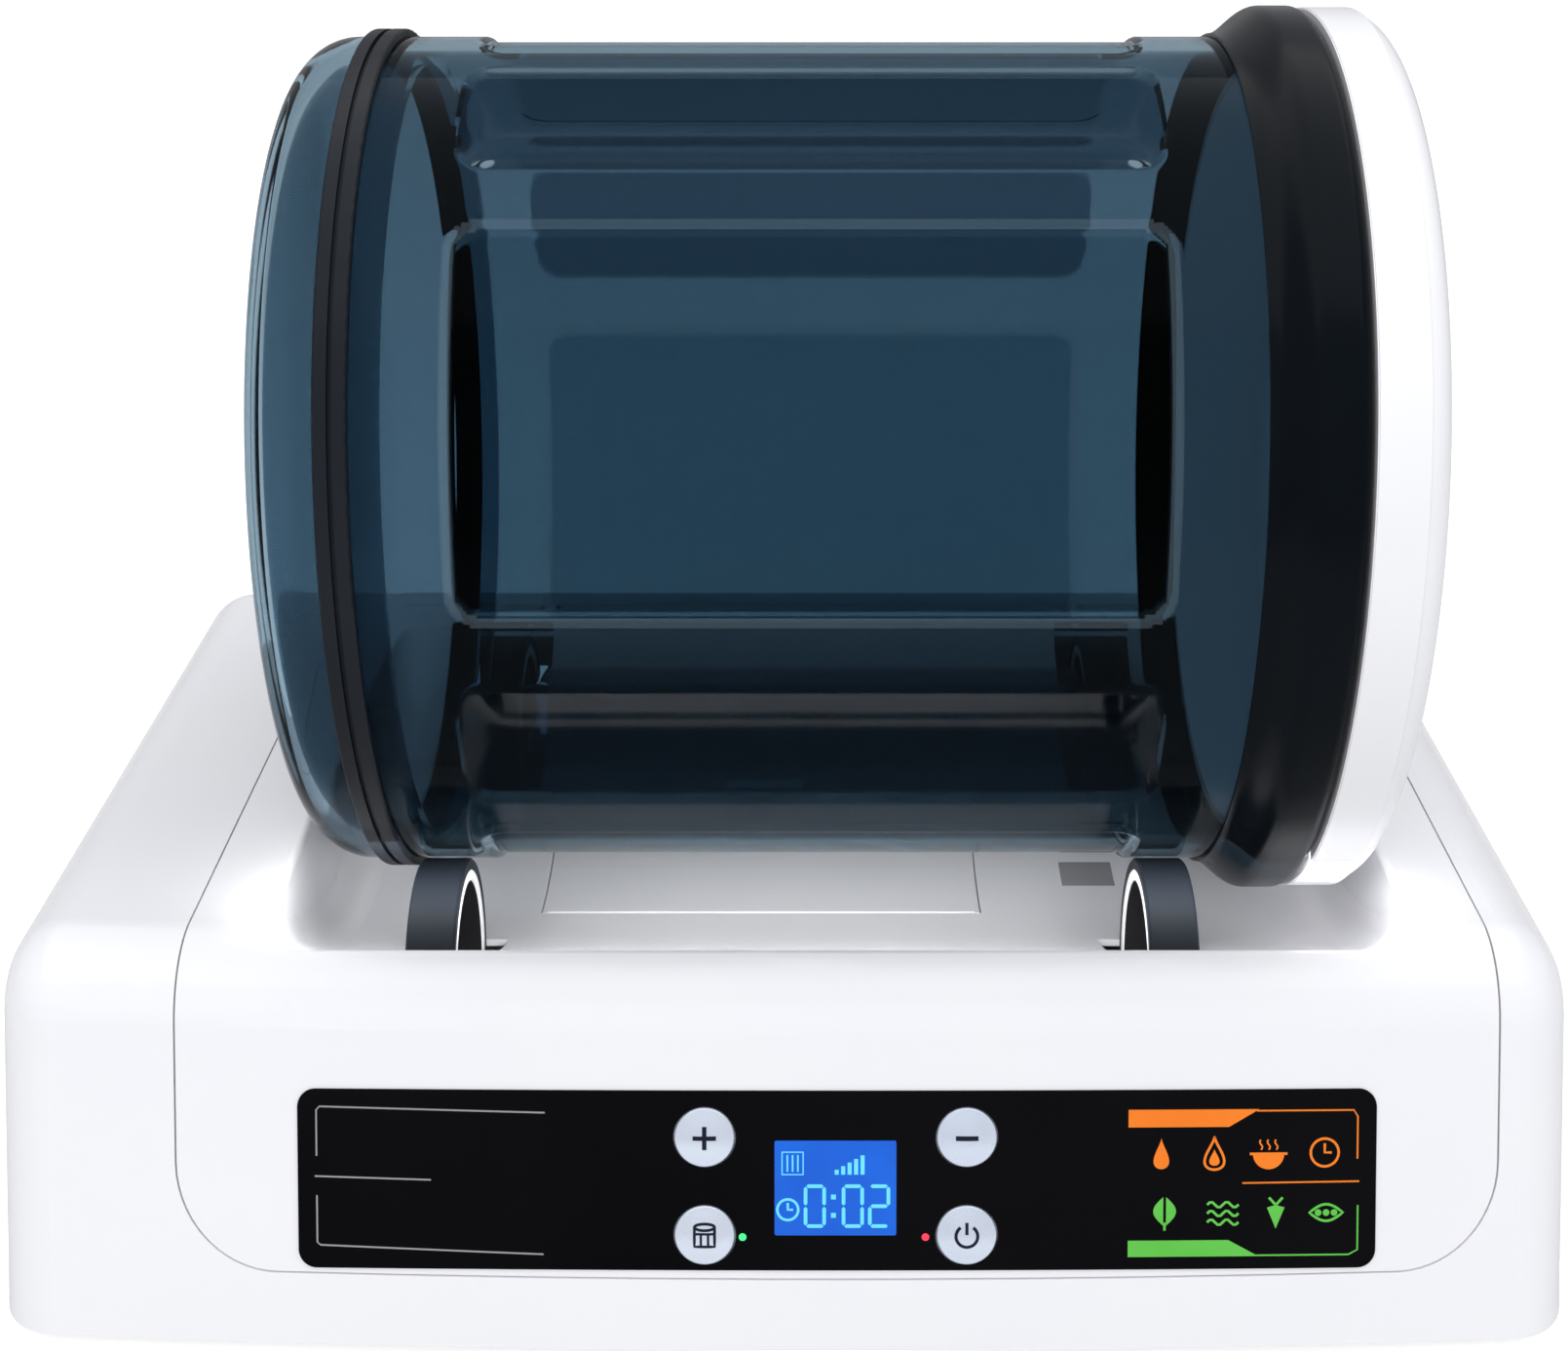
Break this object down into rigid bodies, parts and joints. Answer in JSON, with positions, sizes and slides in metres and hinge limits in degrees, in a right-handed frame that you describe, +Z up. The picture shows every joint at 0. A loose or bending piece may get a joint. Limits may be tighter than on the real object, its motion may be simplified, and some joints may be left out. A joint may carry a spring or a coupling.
{
  "type": "meat vacuum tumbler",
  "caption": "Table-top vacuum tumbler: smoked clear drum with a white screw-lock lid, lying on rubber rollers over a white motor base with a sloping control panel.",
  "frame": {"origin": "centre of the base's footprint, on the table", "axes": "+X along the drum's axis to the lid, -Y the control panel side, +Z up"},
  "size_m": [0.397, 0.292, 0.3068],
  "materials": {
    "white_shell": "glossy white moulded plastic with a faint cool tint",
    "smoke_drum": "clear smoked blue plastic, highly polished",
    "black_collar": "polished black plastic",
    "black_rubber": "matt black rubber",
    "silicone": "translucent silicone rubber",
    "white_hub": "satin white plastic",
    "panel_black": "glossy black overlay with printed lines and pictures",
    "display_glass": "clear display window",
    "display_blue": "blue lit display",
    "button_silver": "satin silver lilac plastic",
    "green_light": "green lamp",
    "red_light": "red lamp",
    "circuit_board": "green circuit board",
    "dark_plastic": "dark moulded plastic",
    "steel": "plated steel",
    "bronze": "sintered bronze",
    "copper": "enamelled copper wire",
    "gear_nylon": "natural nylon",
    "sensor_grey": "grey translucent window"
  },
  "bodies": {
    "base": {"base_tray": "white_shell", "outer_shell": "white_shell", "top_cover": "white_shell", "control_panel_overlay": "panel_black", "display_lens": "display_glass", "display_module": "display_blue", "control_board": "circuit_board", "board_screws": "steel", "tact_switches": "dark_plastic", "green_lamp": "green_light", "red_lamp": "red_light", "hose_bin": "white_hub", "suction_hose": "silicone", "hose_nozzle": "white_hub", "pump_tube": "silicone", "vacuum_pump": "dark_plastic", "pump_motor": "steel", "pump_mounts": "black_rubber", "power_board": "circuit_board", "board_pillars": "white_hub", "transformer_core": "steel", "transformer_coil": "copper", "capacitors": "dark_plastic", "mains_inlet": "dark_plastic", "inlet_pins": "bronze", "drive_motor": "steel", "motor_bracket": "steel", "shaft_bushes": "bronze", "rubber_feet": "black_rubber", "tray_screws": "steel", "shell_pillars": "white_hub", "sensor_lens": "sensor_grey"},
    "drive_axle": {"drive_shaft": "steel", "drive_wheel_left": "white_hub", "drive_wheel_right": "white_hub", "drive_tyre_left": "black_rubber", "drive_tyre_right": "black_rubber", "driven_gear": "gear_nylon"},
    "idler_axle": {"idler_shaft": "steel", "idler_wheel_left": "white_hub", "idler_wheel_right": "white_hub", "idler_tyre_left": "black_rubber", "idler_tyre_right": "black_rubber"},
    "motor_rotor": {"motor_pinion": "gear_nylon", "motor_spindle": "steel"},
    "drum": {"drum_barrel": "smoke_drum", "drum_end_cap": "smoke_drum", "drum_joint_ring": "black_rubber", "drum_mouth_collar": "black_collar"},
    "lid": {"drum_lid": "white_shell", "lid_gasket": "silicone"},
    "release_valve": {"release_knob": "white_shell", "valve_seal_disc": "silicone"},
    "hatch": {"hatch_door": "white_shell"},
    "plus_button": {"button_plus": "button_silver"},
    "minus_button": {"button_minus": "button_silver"},
    "vacuum_button": {"button_vacuum": "button_silver"},
    "power_button": {"button_power": "button_silver"}
  },
  "joints": [
    {"name": "drum_spin", "type": "hinge", "parent": "base", "child": "drum", "pos_m": [0, 0, 0.189], "axis": [1, 0, 0], "continuous": true},
    {"name": "drive_axle_spin", "type": "hinge", "parent": "base", "child": "drive_axle", "pos_m": [0, -0.07488, 0.06917], "axis": [1, 0, 0], "continuous": true},
    {"name": "idler_axle_spin", "type": "hinge", "parent": "base", "child": "idler_axle", "pos_m": [0, 0.07488, 0.06917], "axis": [1, 0, 0], "continuous": true},
    {"name": "motor_spin", "type": "hinge", "parent": "base", "child": "motor_rotor", "pos_m": [-0.156, -0.05279, 0.05642], "axis": [1, 0, 0], "continuous": true},
    {"name": "lid_twist", "type": "hinge", "parent": "drum", "child": "lid", "pos_m": [0.1339, 0, 0.189], "axis": [1, 0, 0], "range_deg": [0, 30]},
    {"name": "valve_turn", "type": "hinge", "parent": "lid", "child": "release_valve", "pos_m": [0.1415, 0, 0.189], "axis": [1, 0, 0], "range_deg": [0, 90]},
    {"name": "hatch_lift", "type": "slide", "parent": "base", "child": "hatch", "axis": [0, 0, 1], "range_m": [0, 0.012]},
    {"name": "plus_press", "type": "slide", "parent": "base", "child": "plus_button", "axis": [0, 0.9336, -0.3584], "range_m": [0, 0.001], "stiffness_N_per_m": 400},
    {"name": "minus_press", "type": "slide", "parent": "base", "child": "minus_button", "axis": [0, 0.9336, -0.3584], "range_m": [0, 0.001], "stiffness_N_per_m": 400},
    {"name": "vacuum_press", "type": "slide", "parent": "base", "child": "vacuum_button", "axis": [0, 0.9336, -0.3584], "range_m": [0, 0.001], "stiffness_N_per_m": 400},
    {"name": "power_press", "type": "slide", "parent": "base", "child": "power_button", "axis": [0, 0.9336, -0.3584], "range_m": [0, 0.001], "stiffness_N_per_m": 400}
  ],
  "couplings": [
    {"joint": "drive_axle_spin", "follows": "drum_spin", "ratio": -3.5484},
    {"joint": "idler_axle_spin", "follows": "drum_spin", "ratio": -3.5484},
    {"joint": "motor_spin", "follows": "drum_spin", "ratio": 8.5161}
  ]
}
